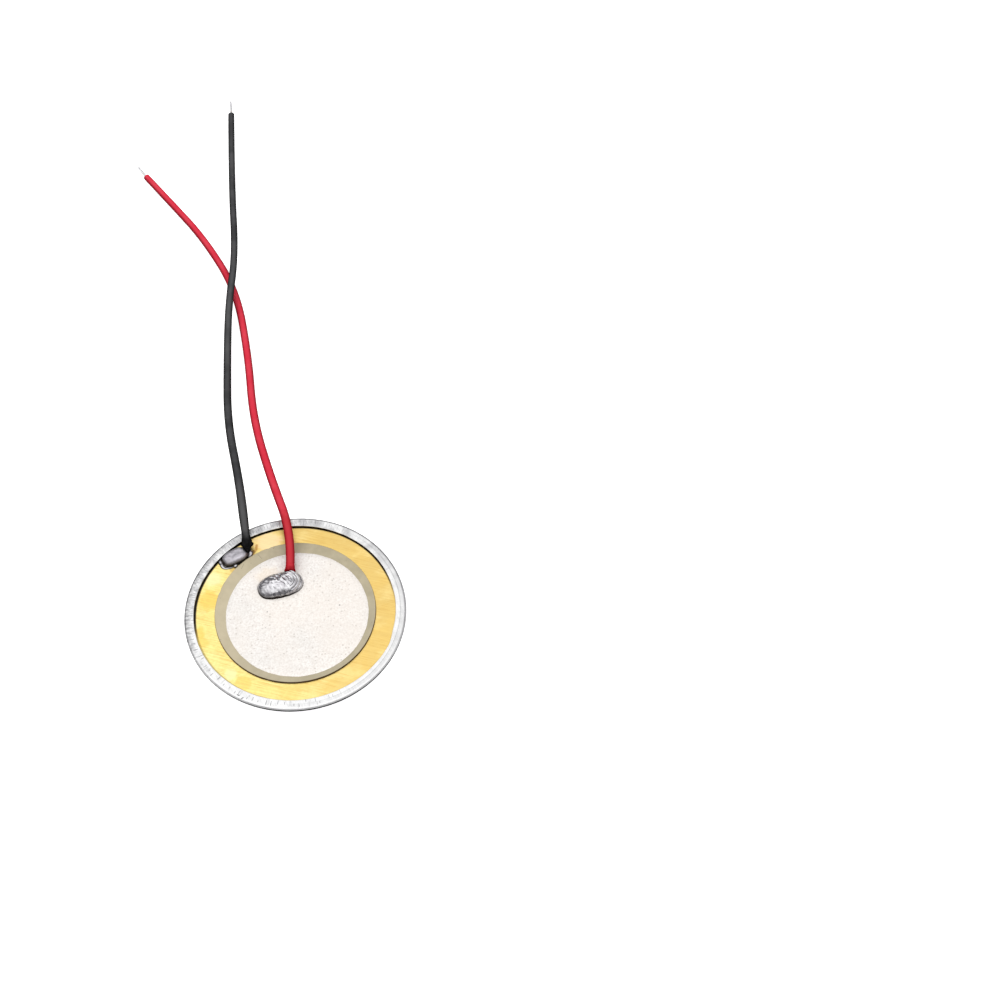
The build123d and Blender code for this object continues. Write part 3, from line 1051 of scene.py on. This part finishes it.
def floor():
    """A pale floor that stays white in the picture and is duller in the reflections."""
    material, tree, shader = new_material("white floor", Roughness=0.9, Emission_Strength=0.72)
    shader.inputs["Base Color"].default_value = (0.92, 0.92, 0.92, 1)
    shader.inputs["Emission Color"].default_value = (1, 1, 1, 1)
    ray = add(tree, "ShaderNodeLightPath").outputs
    bounce = tint(tree, ray["Is Diffuse Ray"], (0.72, 0.72, 0.72, 1), (0.25, 0.25, 0.25, 1))
    dull = add(tree, "ShaderNodeBsdfDiffuse", {"Color": bounce})
    mix = add(tree, "ShaderNodeMixShader",
              {0: ray["Is Camera Ray"], 1: dull.outputs[0], 2: shader.outputs[0]})
    tree.links.new(mix.outputs[0], tree.nodes["Material Output"].inputs["Surface"])
    half = 3.0
    mesh = bpy.data.meshes.new("floor")
    corners = [(-half, -half, 0), (half, -half, 0), (half, half, 0), (-half, half, 0)]
    mesh.from_pydata(corners, [], [(0, 1, 2, 3)])
    mesh.materials.append(material)
    plane = bpy.data.objects.new("floor", mesh)
    bpy.context.scene.collection.objects.link(plane)


def area_light(name, place, target, size, power):
    data = bpy.data.lights.new(name, "AREA")
    data.shape = "DISK"
    data.size = size
    data.energy = power
    light = bpy.data.objects.new(name, data)
    light.location = place
    light.rotation_euler = (Vector(target) - Vector(place)).to_track_quat("-Z", "Y").to_euler()
    light.visible_glossy = False
    bpy.context.scene.collection.objects.link(light)


def studio():
    """A bright tent overhead that darkens towards the horizon, with a key and a fill."""
    world = bpy.data.worlds.new("studio")
    bpy.context.scene.world = world
    world.use_nodes = True
    tree = world.node_tree
    outward = add(tree, "ShaderNodeTexCoord").outputs["Generated"]
    ray = add(tree, "ShaderNodeSeparateXYZ", {"Vector": outward})
    level = calc(tree, "MULTIPLY", calc(tree, "ABSOLUTE", ray.outputs["Y"]), 0.3)
    lean = calc(tree, "MULTIPLY_ADD", ray.outputs["Y"], -0.1, ray.outputs["Z"])
    rise = calc(tree, "SUBTRACT", lean, level)
    colour = tint(tree, span(tree, rise, 0.0, 0.85), (0.15, 0.145, 0.16, 1), (1.55, 1.55, 1.55, 1))
    tree.links.new(colour, tree.nodes["Background"].inputs["Color"])
    area_light("key", (-0.35, 0.25, 0.55), (0, 0.02, 0), size=0.45, power=0.9)
    area_light("fill", (0.45, -0.1, 0.5), (0, 0.02, 0), size=0.5, power=0.5)


def photo_camera():
    data = bpy.data.cameras.new("camera")
    data.lens = camera_lens_mm
    data.clip_start = 0.01
    camera = bpy.data.objects.new("camera", data)
    camera.location = camera_place
    camera.rotation_euler = (math.radians(camera_tilt_deg), 0, 0)
    bpy.context.scene.collection.objects.link(camera)
    bpy.context.scene.camera = camera


photo_camera()
studio()
floor()
bpy.context.scene.view_settings.view_transform = "Standard"

red_tip = strand_tip("red_lead_strands", red_route, red_tip_length, bend=0.00012, node="red_lead_tip")
black_tip = strand_tip("black_lead_strands", black_route, black_tip_length,
                       bend=-0.0001, node="black_lead_tip")
lead("red_lead_cover", red_route, red_length, [1.05, 1.08, 1.07, 1.04],
     red_plastic, "red_cover", red_tip, "red_lead")
lead("black_lead_cover", black_route, black_length, [0.8, 1.16, 1.06, 1.04],
     black_plastic, "black_cover", black_tip, "black_lead")
melted_end("red_melted_end", red_route, neck=0.0, reach=0.0014,
           widths=[(0, 1.35), (0.3, 1.16), (0.75, 1.06), (1, 0.8)],
           lumps=0.12, folds=7, material=red_plastic, slot="red_cover")
melted_end("black_melted_end", black_route, neck=0.0005, reach=0.0026,
           widths=[(0, 0.35), (0.18, 0.6), (0.33, 1.35), (0.5, 1.3), (0.75, 1.1), (1, 0.7)],
           lumps=0.8, folds=3, material=black_plastic, slot="black_cover")

aluminium_shell()
round_layer("ceramic_plate", Vector((0, 0)), ceramic_radius, ceramic_low, ceramic_high, edge=0.00004,
            ragged=ceramic_edge, material=ceramic_finish, slot="ceramic", node="ceramic_disc")
round_layer("upper_silver_print", silver_centre, silver_radius, silver_low.z, silver_high.z, edge=0.000015,
            ragged=silver_edge, material=silver_finish, slot="silver", node="upper_silver_film")
red_solder()
black_solder()
dressed_solids = {"brass_plate": brass_finish, "bond_film": bond_finish, "lower_silver_film": silver_finish}
for node, finish in dressed_solids.items():
    kept = frame["nodes"][node]
    kept.data.materials.clear()
    kept.data.materials.append(finish)
